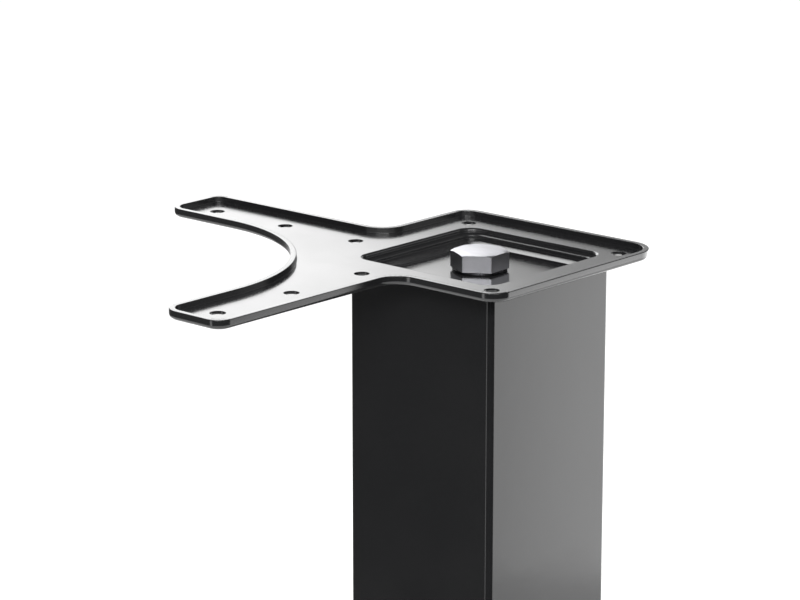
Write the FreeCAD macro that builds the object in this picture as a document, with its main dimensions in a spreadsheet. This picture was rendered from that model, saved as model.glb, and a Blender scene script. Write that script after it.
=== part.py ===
# Square metal table leg with an L-shaped tray plate on its top and a levelling foot under it
# Millimetres. The tube's axis is Z, and the origin is on the floor under it.

import FreeCAD, Part
import math
import os
import Sketcher

doc = FreeCAD.newDocument("table_leg")


# Driving dimensions

DIMENSIONS = {
    "leg_height": 710.0,
    # Square tube
    "tube_side": 60.0,
    "tube_wall": 2.0,
    "tube_corner": 2.0,
    "tube_bore_corner": 0.8,
    # Outline of the top plate: the head past the tube, the arms from the tube's axis
    "head_overhang": 12.2,
    "head_corner": 6.5,
    "outward_corner": 11.0,
    "arm_reach": 120.3,
    "arm_width": 25.5,
    "arm_edge": 0.8,
    "tip_corner": 4.8,
    "sweep_tip_corner": 7.0,
    "neck_radius": 7.5,
    "sweep_radius": 64.0,
    # Section of the top plate
    "plate_height": 3.1,
    "tray_depth": 2.0,
    "rim_width": 2.0,
    "under_bevel": 0.7,
    "seat_height": 1.4,
    "spigot_clearance": 0.1,
    "spigot_corner": 1.2,
    "spigot_depth": 3.6,
    # Stepped recess in the head, inside the tube's sides
    "recess_inset": 1.6,
    "recess_corner": 5.8,
    "step_corner": 3.2,
    "recess_drop": 1.4,
    "step_ledge": 2.1,
    "step_drop": 1.65,
    "sink_ledge": 4.8,
    "sink_drop": 1.8,
    # Screw holes in the plate
    "screw_bore": 5.0,
    "screw_count": 3.0,
    "screw_head_gap": 1.1,
    "screw_tip": 12.5,
    "screw_edge": 13.1,
    "corner_screw_gap": 2.0,
    # Hexagon bolt, washer and what they screw into
    "bolt_size": 10.0,
    "bolt_bore": 10.8,
    "bolt_flats": 16.8,
    "bolt_head": 5.8,
    "bolt_length": 25.0,
    "bolt_turn": 33.7,
    "bevel_inset": 0.3,
    "bevel_drop": 0.7,
    "cut_margin": 1.0,
    "thread_clearance": 0.06,
    "tip_bevel": 1.0,
    "washer_size": 18.0,
    "washer_thickness": 0.9,
    "anchor_gap": 6.0,
    "anchor_thickness": 5.0,
    "anchor_corner": 1.5,
    "anchor_slack": 0.05,
    "nut_flats": 17.0,
    "nut_height": 8.0,
    # Plug in the lower end of the tube
    "plug_flange": 4.0,
    "plug_depth": 24.0,
    "plug_wall": 2.6,
    "plug_clearance": 0.1,
    "plug_boss": 24.0,
    "plug_rib": 2.4,
    "plug_bevel": 0.8,
    "bush_size": 14.0,
    "bush_length": 20.0,
    # Levelling foot
    "foot_gap": 0.8,
    "collar_flats": 17.0,
    "collar_height": 6.0,
    "stud_length": 38.0,
    "neck_size": 8.0,
    "neck_clearance": 0.06,
    "foot_slack": 0.2,
    "rivet_size": 13.0,
    "rivet_height": 1.6,
    "pad_size": 46.0,
    "pad_edge": 5.0,
    "pad_height": 12.5,
    "pad_hub": 22.0,
    "pad_bevel": 0.8,
    "pad_lip": 2.5,
    "pad_web": 4.6,
    "rivet_room": 16.0,
    "sole_thickness": 3.0,
    "sole_depth": 2.0,
    "sole_slack": 0.05,
    "sole_bevel": 0.5,
}

dims = doc.addObject("Spreadsheet::Sheet", "dims")
for row, (word, value) in enumerate(DIMENSIONS.items(), start=1):
    dims.set(f"A{row}", word)
    dims.set(f"B{row}", str(value))
    dims.setAlias(f"B{row}", word)
doc.recompute()


# Heights and half sizes that follow from the driving dimensions

RIM_TOP = "dims.leg_height"
PLATE_UNDER = f"({RIM_TOP} - dims.plate_height)"
TUBE_TOP = f"({PLATE_UNDER} - dims.seat_height)"
TRAY_FLOOR = f"({RIM_TOP} - dims.tray_depth)"
RECESS_DEPTH = "(dims.recess_drop + dims.step_drop + dims.sink_drop)"
RECESS_FLOOR = f"({TRAY_FLOOR} - {RECESS_DEPTH})"
SPIGOT_UNDER = f"({TUBE_TOP} - dims.spigot_depth)"
BOLT_SEAT = f"({RECESS_FLOOR} + dims.washer_thickness)"
ANCHOR_TOP = f"({SPIGOT_UNDER} - dims.anchor_gap)"
ANCHOR_UNDER = f"({ANCHOR_TOP} - dims.anchor_thickness)"

SOLE_TOP = "dims.sole_thickness"
PAD_UNDER = f"({SOLE_TOP} - dims.sole_depth)"
PAD_TOP = f"({PAD_UNDER} + dims.pad_height)"
COLLAR_UNDER = f"({PAD_TOP} + dims.foot_slack)"
COLLAR_TOP = f"({COLLAR_UNDER} + dims.collar_height)"
PLUG_UNDER = f"({COLLAR_TOP} + dims.foot_gap)"
TUBE_UNDER = f"({PLUG_UNDER} + dims.plug_flange)"

TUBE_HALF = "(dims.tube_side / 2)"
BORE_HALF = f"({TUBE_HALF} - dims.tube_wall)"
HEAD_HALF = f"({TUBE_HALF} + dims.head_overhang)"
RECESS_HALF = f"({TUBE_HALF} - dims.recess_inset)"
ARM_INNER = "(dims.arm_edge - dims.arm_width)"
SCREW_START = f"({HEAD_HALF} + dims.screw_head_gap)"
SCREW_RUN = f"(dims.arm_reach - dims.screw_tip - {SCREW_START})"
SCREW_LINE = "(dims.arm_edge - dims.screw_edge)"
CORNER_SCREW = f"({TUBE_HALF} + dims.corner_screw_gap)"
SOLE_SIZE = "(dims.pad_size - 2 * dims.pad_lip)"


# Helpers: numbers, bodies, sketches and features bound to the sheet

def number(formula):
    """The present value of a formula on the sheet, in millimetres."""
    return float(dims.evalExpression(str(formula)))


def new_body(label, height="0"):
    """An empty sub-part with its own frame at a height above the floor."""
    body = doc.addObject("PartDesign::Body", label)
    body.Label = label
    body.setExpression("Placement.Base.z", height)
    return body


def new_sketch(body, name, height="0", plane="XY_Plane"):
    """A sketch on one of the body's own origin planes, lifted along that plane's normal."""
    sketch = body.newObject("Sketcher::SketchObject", name)
    support = next(item for item in body.Origin.OriginFeatures if item.Role == plane)
    sketch.AttachmentSupport = [(support, "")]
    sketch.MapMode = "FlatFace"
    sketch.setExpression("AttachmentOffset.Base.z", height)
    return sketch


def bind(sketch, kind, *references, formula):
    """A dimensional constraint whose value follows a formula."""
    place = sketch.addConstraint(Sketcher.Constraint(kind, *references, number(formula)))
    sketch.setExpression(f"Constraints[{place}]", formula)


def add_circle(sketch, diameter, across="0", along="0"):
    """A circle with its diameter and centre bound."""
    centre = FreeCAD.Vector(number(across), number(along), 0)
    circle = sketch.addGeometry(Part.Circle(centre, FreeCAD.Vector(0, 0, 1), number(diameter) / 2))
    bind(sketch, "Diameter", circle, formula=diameter)
    bind(sketch, "DistanceX", -1, 1, circle, 3, formula=across)
    bind(sketch, "DistanceY", -1, 1, circle, 3, formula=along)


def add_outline(sketch, corners):
    """A closed outline of level and upright lines with a tangent arc at each corner.

    Each corner is (across, along, radius), each of them a formula, and neighbours share
    either across or along.
    """
    points = [FreeCAD.Vector(number(x), number(y), 0) for x, y, _ in corners]
    radii = [number(radius) for _, _, radius in corners]
    count = len(corners)
    starts = []
    ends = []
    for i in range(count):
        back = (points[i - 1] - points[i]).normalize()
        ahead = (points[(i + 1) % count] - points[i]).normalize()
        starts.append(points[i] + ahead * radii[i])
        ends.append(points[i] + back * radii[i])
    lines = []
    arcs = []
    for i in range(count):
        after = (i + 1) % count
        lines.append(sketch.addGeometry(Part.LineSegment(starts[i], ends[after])))
        middle = points[i] + (starts[i] - points[i]) + (ends[i] - points[i])
        away = (points[i] - middle).normalize() * radii[i]
        arcs.append(sketch.addGeometry(Part.Arc(ends[i], middle + away, starts[i])))
    for i in range(count):
        turn = (points[i] - ends[i]).cross(starts[i] - points[i]).z
        entry, leave = (1, 2) if turn > 0 else (2, 1)
        sketch.addConstraint(Sketcher.Constraint("Tangent", lines[i - 1], 2, arcs[i], entry))
        sketch.addConstraint(Sketcher.Constraint("Tangent", arcs[i], leave, lines[i], 1))
        bind(sketch, "Radius", arcs[i], formula=corners[i][2])
        across, along, _ = corners[i]
        level = abs(starts[i].y - ends[(i + 1) % count].y) < 1e-6
        if level:
            sketch.addConstraint(Sketcher.Constraint("Horizontal", lines[i]))
            bind(sketch, "DistanceY", -1, 1, lines[i], 1, formula=along)
        else:
            sketch.addConstraint(Sketcher.Constraint("Vertical", lines[i]))
            bind(sketch, "DistanceX", -1, 1, lines[i], 1, formula=across)


def add_square(sketch, half, radius):
    """A rounded square about the axis."""
    signs = ((1, -1), (1, 1), (-1, 1), (-1, -1))
    add_outline(sketch, [(f"{x} * {half}", f"{y} * {half}", radius) for x, y in signs])


def add_hexagon(sketch, flats):
    """A regular hexagon about the axis, one corner on the level axis."""
    radius = number(flats) / math.sqrt(3)
    turns = [math.radians(60 * i) for i in range(7)]
    points = [FreeCAD.Vector(radius * math.cos(t), radius * math.sin(t), 0) for t in turns]
    sides = [sketch.addGeometry(Part.LineSegment(points[i], points[i + 1])) for i in range(6)]
    guide = sketch.addGeometry(Part.Circle(FreeCAD.Vector(), FreeCAD.Vector(0, 0, 1), radius), True)
    sketch.addConstraint(Sketcher.Constraint("Coincident", guide, 3, -1, 1))
    for i, side in enumerate(sides):
        sketch.addConstraint(Sketcher.Constraint("Coincident", side, 2, sides[(i + 1) % 6], 1))
        sketch.addConstraint(Sketcher.Constraint("PointOnObject", side, 1, guide))
        if i:
            sketch.addConstraint(Sketcher.Constraint("Equal", sides[0], side))
    sketch.addConstraint(Sketcher.Constraint("PointOnObject", sides[0], 1, -1))
    bind(sketch, "Radius", guide, formula=f"{flats} / sqrt(3)")


def add_profile(sketch, corners):
    """A closed outline of straight lines, each corner bound as (radius, height)."""
    points = [FreeCAD.Vector(number(x), number(y), 0) for x, y in corners]
    count = len(points)
    lines = []
    for i in range(count):
        lines.append(sketch.addGeometry(Part.LineSegment(points[i], points[(i + 1) % count])))
    for i, (across, along) in enumerate(corners):
        sketch.addConstraint(Sketcher.Constraint("Coincident", lines[i - 1], 2, lines[i], 1))
        bind(sketch, "DistanceX", -1, 1, lines[i], 1, formula=across)
        bind(sketch, "DistanceY", -1, 1, lines[i], 1, formula=along)


def pad(body, sketch, length, downward=False):
    """Material along the sketch's normal, or against it."""
    feature = body.newObject("PartDesign::Pad", f"{sketch.Name}_pad")
    feature.Profile = sketch
    feature.Reversed = downward
    feature.setExpression("Length", length)
    doc.recompute()
    return feature


def pocket(body, sketch, depth):
    """A cut against the sketch's normal, which has to take material away."""
    before = body.Shape.Volume
    feature = body.newObject("PartDesign::Pocket", f"{sketch.Name}_pocket")
    feature.Profile = sketch
    feature.setExpression("Length", depth)
    doc.recompute()
    if body.Shape.Volume >= before:
        raise ValueError(f"{feature.Name} cuts nothing")
    return feature


def bevel(body, name, size, wanted):
    """A chamfer on the edges of the body's last feature that the test accepts."""
    base = body.Tip
    names = [f"Edge{i}" for i, edge in enumerate(base.Shape.Edges, start=1) if wanted(edge)]
    feature = body.newObject("PartDesign::Chamfer", name)
    feature.Base = (base, names)
    feature.setExpression("Size", size)
    doc.recompute()


def edge_at(edge, height):
    """Whether an edge lies level at a height in its body's frame."""
    box = edge.BoundBox
    return abs(box.ZMin - height) < 1e-4 and abs(box.ZMax - height) < 1e-4


def whole_circle(edge, diameter):
    """Whether an edge is a circle of a diameter."""
    return isinstance(edge.Curve, Part.Circle) and abs(2 * edge.Curve.Radius - diameter) < 1e-4


# Top plate: a tray with two arms, its rim, the seat on the tube and the stepped recess

def plate_corners(inset):
    """The plate's outline, moved inwards by a formula, from the head's near corner on."""
    head = f"({HEAD_HALF} - {inset})"
    reach = f"(dims.arm_reach - {inset})"
    outer = f"(dims.arm_edge - {inset})"
    inner = f"({ARM_INNER} + {inset})"
    neck = f"(dims.neck_radius + {inset})"
    sweep = f"(dims.sweep_radius + {inset})"
    corner = f"(dims.head_corner - {inset})"
    outward = f"(dims.outward_corner - {inset})"
    tip = f"(dims.tip_corner - {inset})"
    sweep_tip = f"(dims.sweep_tip_corner - {inset})"
    return [
        (head, f"-{head}", corner),
        (head, head, outward),
        (f"-{head}", head, corner),
        (f"-{head}", outer, neck),
        (f"-{reach}", outer, tip),
        (f"-{reach}", inner, sweep_tip),
        (inner, inner, sweep),
        (inner, f"-{reach}", sweep_tip),
        (outer, f"-{reach}", tip),
        (outer, f"-{head}", neck),
    ]


def screw_holes(body):
    """Three clearance holes along each arm and one in each outward corner of the head."""
    axes = {item.Role: item for item in body.Origin.OriginFeatures}
    arms = (
        ("x_arm_screw", f"-{SCREW_START}", SCREW_LINE, "X_Axis"),
        ("y_arm_screw", SCREW_LINE, f"-{SCREW_START}", "Y_Axis"),
    )
    for name, across, along, axis in arms:
        sketch = new_sketch(body, name)
        add_circle(sketch, "dims.screw_bore", across, along)
        hole = pocket(body, sketch, "dims.plate_height")
        row = body.newObject("PartDesign::LinearPattern", f"{name}_row")
        row.Originals = [hole]
        row.Direction = (axes[axis], [""])
        row.Reversed = True
        row.setExpression("Length", SCREW_RUN)
        row.setExpression("Occurrences", "dims.screw_count")
        body.Tip = row
        doc.recompute()
    sketch = new_sketch(body, "corner_screw_hole")
    add_circle(sketch, "dims.screw_bore", CORNER_SCREW, f"-{CORNER_SCREW}")
    hole = pocket(body, sketch, "dims.plate_height")
    ring = body.newObject("PartDesign::PolarPattern", "corner_screw_ring")
    ring.Originals = [hole]
    ring.Axis = (axes["Z_Axis"], [""])
    ring.Angle = 180
    ring.Occurrences = 3
    body.Tip = ring
    doc.recompute()


def make_corner_plate():
    """The plate, in a frame whose level zero is the top of the rim."""
    body = new_body("corner_plate", RIM_TOP)
    outline = new_sketch(body, "plate_outline")
    add_outline(outline, plate_corners("0"))
    pad(body, outline, "dims.plate_height", downward=True)
    under = -number("dims.plate_height")
    bevel(body, "under_edge", "dims.under_bevel", lambda edge: edge_at(edge, under))

    seat = new_sketch(body, "tube_seat", "-dims.plate_height")
    add_square(seat, TUBE_HALF, "dims.tube_corner")
    pad(body, seat, "dims.seat_height", downward=True)
    spigot = new_sketch(body, "spigot", "-dims.plate_height - dims.seat_height")
    add_square(spigot, f"({BORE_HALF} - dims.spigot_clearance)", "dims.spigot_corner")
    pad(body, spigot, "dims.spigot_depth", downward=True)

    tray = new_sketch(body, "tray")
    add_outline(tray, plate_corners("dims.rim_width"))
    pocket(body, tray, "dims.tray_depth")

    steps = (
        ("recess", "dims.recess_drop", "0", "0", "dims.recess_corner"),
        ("recess_step", "dims.step_drop", "dims.recess_drop", "dims.step_ledge",
         "dims.step_corner"),
        ("recess_sink", "dims.sink_drop", "dims.recess_drop + dims.step_drop",
         "dims.step_ledge + dims.sink_ledge", "dims.step_corner"),
    )
    for name, drop, depth, ledge, corner in steps:
        level = new_sketch(body, name, f"-dims.tray_depth - ({depth})")
        add_square(level, f"({RECESS_HALF} - ({ledge}))", corner)
        pocket(body, level, drop)

    bore = new_sketch(body, "bolt_hole", f"-dims.tray_depth - {RECESS_DEPTH}")
    add_circle(bore, "dims.bolt_bore")
    pocket(body, bore, "dims.spigot_depth + dims.seat_height")
    screw_holes(body)
    return body


# Square tube

def make_leg_tube():
    """The tube, from the plug's flange to the plate's seat."""
    body = new_body("leg_tube", TUBE_UNDER)
    section = new_sketch(body, "tube_section")
    add_square(section, TUBE_HALF, "dims.tube_corner")
    add_square(section, BORE_HALF, "dims.tube_bore_corner")
    pad(body, section, f"{TUBE_TOP} - {TUBE_UNDER}")
    return body


# Bolt, washer, and the threaded anchor that is welded in the tube

def bevel_hexagon(body, flats, height):
    """The round bevel that cuts the corners off the top of a hexagon."""
    groove_sketch = new_sketch(body, "corner_bevel", plane="XZ_Plane")
    inside = f"({flats} / 2 - dims.bevel_inset)"
    corner = f"({flats} / sqrt(3))"
    outside = f"({corner} + dims.cut_margin)"
    below = f"({height} - dims.bevel_drop)"
    above = f"({height} + dims.cut_margin)"
    add_profile(groove_sketch, [
        (inside, height),
        (corner, below),
        (outside, below),
        (outside, above),
        (inside, above),
    ])
    before = body.Shape.Volume
    groove = body.newObject("PartDesign::Groove", "corner_bevel_cut")
    groove.Profile = groove_sketch
    groove.ReferenceAxis = (groove_sketch, ["V_Axis"])
    groove.Angle = 360
    doc.recompute()
    if body.Shape.Volume >= before:
        raise ValueError("the bevel cuts nothing")


def make_plate_bolt():
    """The hexagon bolt, in a frame whose level zero is the underside of its head."""
    body = new_body("plate_bolt", BOLT_SEAT)
    head = new_sketch(body, "bolt_head")
    add_hexagon(head, "dims.bolt_flats")
    head.setExpression("AttachmentOffset.Rotation.Angle", "dims.bolt_turn")
    pad(body, head, "dims.bolt_head")
    bevel_hexagon(body, "dims.bolt_flats", "dims.bolt_head")
    shank = new_sketch(body, "bolt_shank")
    add_circle(shank, "dims.bolt_size")
    pad(body, shank, "dims.bolt_length", downward=True)
    tip = -number("dims.bolt_length")
    bevel(body, "bolt_tip", "dims.tip_bevel", lambda edge: edge_at(edge, tip))
    return body


def make_ring(label, height, outside, bore, thickness):
    """A flat ring."""
    body = new_body(label, height)
    section = new_sketch(body, f"{label}_section")
    add_circle(section, outside)
    add_circle(section, bore)
    pad(body, section, thickness)
    return body


def make_tube_anchor():
    """The steel square across the tube's bore, with the bolt's hole in it."""
    body = new_body("tube_anchor", ANCHOR_UNDER)
    section = new_sketch(body, "anchor_section")
    add_square(section, f"({BORE_HALF} - dims.anchor_slack)", "dims.anchor_corner")
    add_circle(section, "dims.bolt_bore")
    pad(body, section, "dims.anchor_thickness")
    return body


def make_anchor_nut():
    """The nut that is welded under the anchor."""
    body = new_body("anchor_nut", f"{ANCHOR_UNDER} - dims.nut_height")
    section = new_sketch(body, "nut_section")
    add_hexagon(section, "dims.nut_flats")
    add_circle(section, "dims.bolt_size + 2 * dims.thread_clearance")
    pad(body, section, "dims.nut_height")
    return body


# Plug in the tube's lower end, with a threaded bush moulded in

def make_end_plug():
    """The plug: a flange under the tube, a thin-walled skirt in it, a boss and four ribs."""
    body = new_body("end_plug", PLUG_UNDER)
    flange = new_sketch(body, "plug_flange")
    add_square(flange, TUBE_HALF, "dims.tube_corner")
    pad(body, flange, "dims.plug_flange")
    bevel(body, "flange_bevel", "dims.plug_bevel", lambda edge: edge_at(edge, 0))
    outside = f"({BORE_HALF} - dims.plug_clearance)"
    skirt = new_sketch(body, "plug_skirt", "dims.plug_flange")
    add_square(skirt, outside, "dims.plug_wall")
    add_square(skirt, f"({outside} - dims.plug_wall)", "dims.plug_wall / 2")
    pad(body, skirt, "dims.plug_depth")
    boss = new_sketch(body, "plug_boss", "dims.plug_flange")
    add_circle(boss, "dims.plug_boss")
    pad(body, boss, "dims.bush_length - dims.plug_flange")
    reach = f"({outside} - dims.plug_wall / 2)"
    half = "(dims.plug_rib / 2)"
    for name, across, along in (("level_rib", reach, half), ("upright_rib", half, reach)):
        rib = new_sketch(body, name, "dims.plug_flange")
        add_profile(rib, [
            (across, f"-{along}"),
            (across, along),
            (f"-{across}", along),
            (f"-{across}", f"-{along}"),
        ])
        pad(body, rib, "dims.bush_length - dims.plug_flange")
    bore = new_sketch(body, "bush_hole", "dims.bush_length")
    add_circle(bore, "dims.bush_size")
    pocket(body, bore, "dims.bush_length")
    return body


# Levelling foot: a threaded stud riveted through a round pad on a soft sole

def make_foot_stud():
    """The stud, in a frame whose level zero is the underside of its hexagon collar."""
    body = new_body("foot_stud", COLLAR_UNDER)
    collar = new_sketch(body, "stud_collar")
    add_hexagon(collar, "dims.collar_flats")
    pad(body, collar, "dims.collar_height")
    bevel_hexagon(body, "dims.collar_flats", "dims.collar_height")
    shank = new_sketch(body, "stud_shank", "dims.collar_height")
    add_circle(shank, "dims.bolt_size")
    pad(body, shank, "dims.stud_length")
    top = number("dims.collar_height + dims.stud_length")
    bevel(body, "stud_tip", "dims.tip_bevel", lambda edge: edge_at(edge, top))
    reach = "(dims.pad_height - dims.pad_web + 2 * dims.foot_slack)"
    neck = new_sketch(body, "stud_neck")
    add_circle(neck, "dims.neck_size")
    pad(body, neck, reach, downward=True)
    rivet = new_sketch(body, "stud_rivet", f"-{reach}")
    add_circle(rivet, "dims.rivet_size")
    pad(body, rivet, "dims.rivet_height", downward=True)
    return body


def make_foot_pad():
    """The pad: a revolved disc with a sloping top, a hub and a recess for the sole."""
    body = new_body("foot_pad", PAD_UNDER)
    section = new_sketch(body, "pad_section", plane="XZ_Plane")
    bore = "(dims.neck_size / 2 + dims.neck_clearance)"
    sole_room = f"({SOLE_SIZE} / 2 + dims.sole_slack)"
    add_profile(section, [
        (bore, "dims.pad_web"),
        ("dims.rivet_room / 2", "dims.pad_web"),
        ("dims.rivet_room / 2", "dims.sole_depth"),
        (sole_room, "dims.sole_depth"),
        (sole_room, "0"),
        ("dims.pad_size / 2", "0"),
        ("dims.pad_size / 2", "dims.pad_edge"),
        ("dims.pad_hub / 2", "dims.pad_height"),
        (bore, "dims.pad_height"),
    ])
    turned = body.newObject("PartDesign::Revolution", "pad_turned")
    turned.Profile = section
    turned.ReferenceAxis = (section, ["V_Axis"])
    turned.Angle = 360
    doc.recompute()
    top = number("dims.pad_height")
    hub = number("dims.pad_hub")
    bevel(body, "hub_edge", "dims.pad_bevel", lambda edge: edge_at(edge, top) and whole_circle(edge, hub))
    return body


def make_foot_sole():
    """The soft disc that stands on the floor."""
    body = new_body("foot_sole")
    disc = new_sketch(body, "sole_disc")
    add_circle(disc, SOLE_SIZE)
    pad(body, disc, "dims.sole_thickness")
    bevel(body, "sole_edge", "dims.sole_bevel", lambda edge: edge_at(edge, 0))
    return body


sub_parts = [
    make_corner_plate(),
    make_leg_tube(),
    make_plate_bolt(),
    make_ring("bolt_washer", RECESS_FLOOR, "dims.washer_size", "dims.bolt_bore",
              "dims.washer_thickness"),
    make_tube_anchor(),
    make_anchor_nut(),
    make_end_plug(),
    make_ring("plug_bush", PLUG_UNDER, "dims.bush_size",
              "dims.bolt_size + 2 * dims.thread_clearance", "dims.bush_length"),
    make_foot_stud(),
    make_foot_pad(),
    make_foot_sole(),
]
doc.recompute()


# Checks, then one file for each sub-part

for item in doc.Objects:
    if "Invalid" in item.State or "Error" in item.State:
        raise ValueError(f"{item.Name} has failed: {item.State}")

os.makedirs("parts", exist_ok=True)
for body in sub_parts:
    shape = body.Shape
    if shape.isNull() or not shape.isValid() or len(shape.Solids) != 1:
        raise ValueError(f"{body.Label} is not one valid solid")
    box = shape.BoundBox
    shape.exportStep(os.path.join("parts", f"{body.Label}.step"))
    print(f"{body.Label}: {shape.Volume:.0f} mm3, {len(shape.Faces)} faces, "
          f"height {box.ZMin:.2f} to {box.ZMax:.2f}")
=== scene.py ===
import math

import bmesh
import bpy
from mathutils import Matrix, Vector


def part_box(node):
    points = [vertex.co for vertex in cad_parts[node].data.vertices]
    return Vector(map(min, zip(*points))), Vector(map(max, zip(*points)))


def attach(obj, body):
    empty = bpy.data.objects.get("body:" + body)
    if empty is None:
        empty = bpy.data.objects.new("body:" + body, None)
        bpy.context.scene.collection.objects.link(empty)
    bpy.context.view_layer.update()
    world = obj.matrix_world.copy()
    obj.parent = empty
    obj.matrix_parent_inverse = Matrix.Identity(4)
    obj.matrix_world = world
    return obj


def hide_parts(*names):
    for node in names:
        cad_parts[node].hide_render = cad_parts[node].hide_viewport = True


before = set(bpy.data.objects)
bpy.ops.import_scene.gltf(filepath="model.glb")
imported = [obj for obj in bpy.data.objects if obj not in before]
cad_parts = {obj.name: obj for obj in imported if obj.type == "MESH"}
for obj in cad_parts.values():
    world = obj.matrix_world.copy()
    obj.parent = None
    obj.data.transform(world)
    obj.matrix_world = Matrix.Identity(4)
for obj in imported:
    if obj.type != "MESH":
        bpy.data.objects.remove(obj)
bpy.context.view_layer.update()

# %% [markdown]
# The photograph shows the top of a square steel table leg with a cast corner plate. The frame has
# the whole leg, down to the levelling foot that such a leg stands on, as solids in metres with the
# tube's axis on Z and the floor at zero. Everything that follows is modelled at those solids'
# places.

MM = 0.001
RIM_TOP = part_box("corner_plate")[1].z
TUBE_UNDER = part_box("leg_tube")[0].z
TUBE_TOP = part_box("leg_tube")[1].z

# %% [markdown]
# An operator works on everything that is selected, and loading the frame leaves its solids
# selected. So each piece starts with an empty selection, and takes its name as soon as its first
# primitive is there. Its place goes into the mesh at once, which keeps the object at the origin.


# %% Starting a piece and going in and out of edit mode
def clear_selection():
    """Leaves edit mode and selects nothing."""
    if bpy.context.object and bpy.context.object.mode != "OBJECT":
        bpy.ops.object.mode_set(mode="OBJECT")
    bpy.ops.object.select_all(action="DESELECT")


def choose(piece):
    """Makes the piece the only one selected, and the active one."""
    clear_selection()
    piece.select_set(True)
    bpy.context.view_layer.objects.active = piece


def settle(name):
    """Names the new primitive and moves its place, turn and size into its mesh."""
    piece = bpy.context.object
    piece.name = name
    piece.data.name = name
    bpy.ops.object.transform_apply(location=True, rotation=True, scale=True)
    return piece


def open_mesh(piece):
    """Opens the piece's mesh in edit mode."""
    choose(piece)
    bpy.ops.object.mode_set(mode="EDIT")


def close_mesh():
    """Back to object mode."""
    bpy.ops.object.mode_set(mode="OBJECT")


def pick(kind, wanted):
    """Selects the vertices, edges or faces that the test accepts, and counts them."""
    bpy.ops.mesh.select_mode(type=kind)
    bpy.ops.mesh.select_all(action="DESELECT")
    mesh = bmesh.from_edit_mesh(bpy.context.edit_object.data)
    group = {"VERT": mesh.verts, "EDGE": mesh.edges, "FACE": mesh.faces}[kind]
    chosen = [part for part in group if wanted(part)]
    for part in chosen:
        part.select_set(True)
    mesh.select_flush_mode()
    bmesh.update_edit_mesh(bpy.context.edit_object.data)
    return len(chosen)


def near(value, target, slack=1e-5):
    """Whether two lengths are the same to a hundredth of a millimetre."""
    return abs(value - target) < slack


def edge_level(edge, height):
    """Whether both ends of an edge lie at a height."""
    return all(near(v.co.z, height) for v in edge.verts)


def upright(edge):
    """Whether an edge runs straight up."""
    a, b = (v.co for v in edge.verts)
    return near(a.x, b.x) and near(a.y, b.y) and not near(a.z, b.z)


def extrude(x=0.0, y=0.0, z=0.0):
    """Extrudes what is selected by a step."""
    bpy.ops.mesh.extrude_region_move(TRANSFORM_OT_translate={"value": (x, y, z)})


def round_off(size, segments):
    """Bevels the selected edges into an arc."""
    bpy.ops.mesh.bevel(offset=size, segments=segments, profile=0.5, affect="EDGES")


def face_outwards():
    """Turns every face of the open mesh outwards."""
    bpy.ops.mesh.select_all(action="SELECT")
    bpy.ops.mesh.normals_make_consistent(inside=False)


# %% [markdown]
# Painted and plated metal shows every dent in its shading. Large flat faces stay flat in a
# reflection when their own direction weighs most at their corners, so every finished piece is
# shaded smooth up to an angle and then gets a Weighted Normal modifier.


# %% Finishing a piece
def smooth(piece, degrees=40.0):
    """Smooth shading up to an angle, with the flat faces' normals kept."""
    choose(piece)
    bpy.ops.object.shade_smooth_by_angle(angle=math.radians(degrees))
    weights = piece.modifiers.new("flat_faces", "WEIGHTED_NORMAL")
    weights.weight = 90
    weights.keep_sharp = True
    bpy.ops.object.modifier_apply(modifier=weights.name)


def combine(piece, tool, operation):
    """Joins, cuts or crosses the piece with a tool's shape, and deletes the tool."""
    choose(piece)
    step = piece.modifiers.new(tool.name, "BOOLEAN")
    step.object = tool
    step.operation = operation
    step.solver = "EXACT"
    bpy.ops.object.modifier_apply(modifier=step.name)
    bpy.data.objects.remove(tool)


def finish_piece(piece, body, node, finish):
    """Puts the finished piece on its body, in place of its solid, with its finish on."""
    piece.data.materials.clear()
    piece.data.materials.append(finish)
    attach(piece, body)
    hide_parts(node)
    faces = sum(len(face.vertices) - 2 for face in piece.data.polygons)
    print(piece.name, faces, "triangles")


# %% [markdown]
# A finish is a small tree of nodes. All of them read the piece's own coordinates in metres, so a
# noise of scale 700 has waves a little over a millimetre long. The same few steps come back in
# every finish: a noise, a range that a noise drives, and a bump.


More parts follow.
